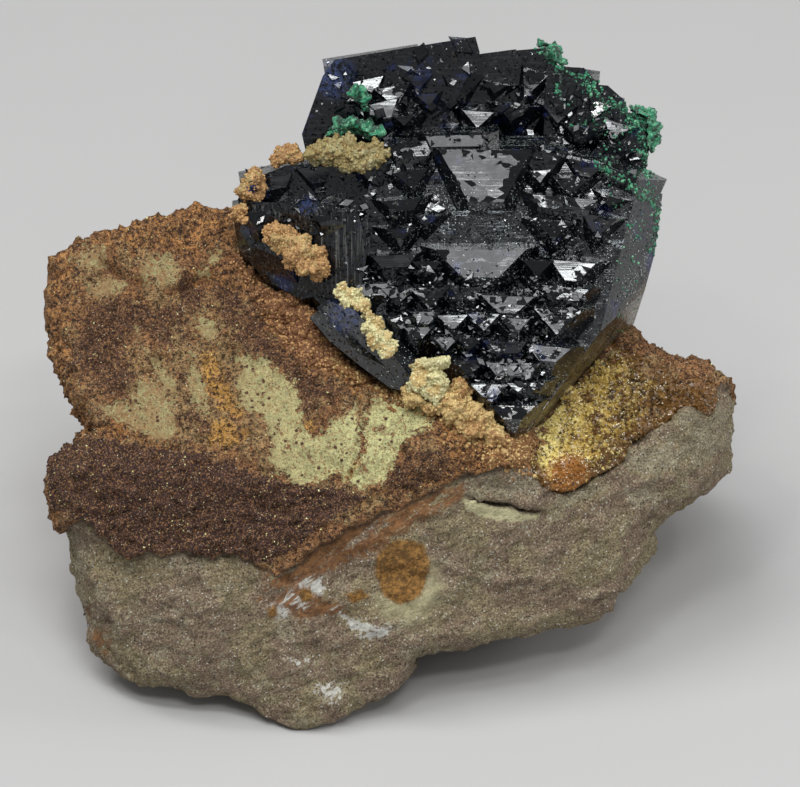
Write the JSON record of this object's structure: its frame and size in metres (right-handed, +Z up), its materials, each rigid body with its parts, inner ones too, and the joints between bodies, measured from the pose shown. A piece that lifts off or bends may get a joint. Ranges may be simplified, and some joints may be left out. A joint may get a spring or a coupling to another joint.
{
  "type": "azurite specimen",
  "caption": "Dark blue-black stepped azurite crystals in a hollow of an iron-stained stone, with ochre druse, tan and pale crusts and touches of green malachite.",
  "frame": {"origin": "middle of the lowest level, on the flat that the stone stands on", "axes": "+X to the right across the crystal face, +Y from the crystal face to the back, +Z up"},
  "size_m": [0.0626, 0.0452, 0.0508],
  "materials": {
    "iron_stained_stone": "rough broken stone, rusty brown skin above and grey-mauve fresh break below",
    "azurite": "glassy blue-black crystal faces with fine growth steps",
    "ochre_druse": "sparkling ochre druse of tiny crystals",
    "tan_crust": "dull knobbly tan crust",
    "pale_crust": "dull knobbly pale yellow crust",
    "malachite": "velvety green crust"
  },
  "bodies": {
    "root": {"matrix_stone": "iron_stained_stone", "azurite_crystals": "azurite", "drusy_crust": "ochre_druse", "tan_crust_left": "tan_crust", "pale_bead_crust": "pale_crust", "pale_coral_crust": "pale_crust", "rim_crust": "tan_crust", "ochre_cap": "pale_crust", "tan_nodule_upper": "tan_crust", "tan_nodule_lower": "tan_crust", "tan_nodule_top": "tan_crust", "malachite_arc": "malachite", "malachite_patch": "malachite", "malachite_corner": "malachite", "malachite_rim": "malachite"}
  },
  "joints": []
}
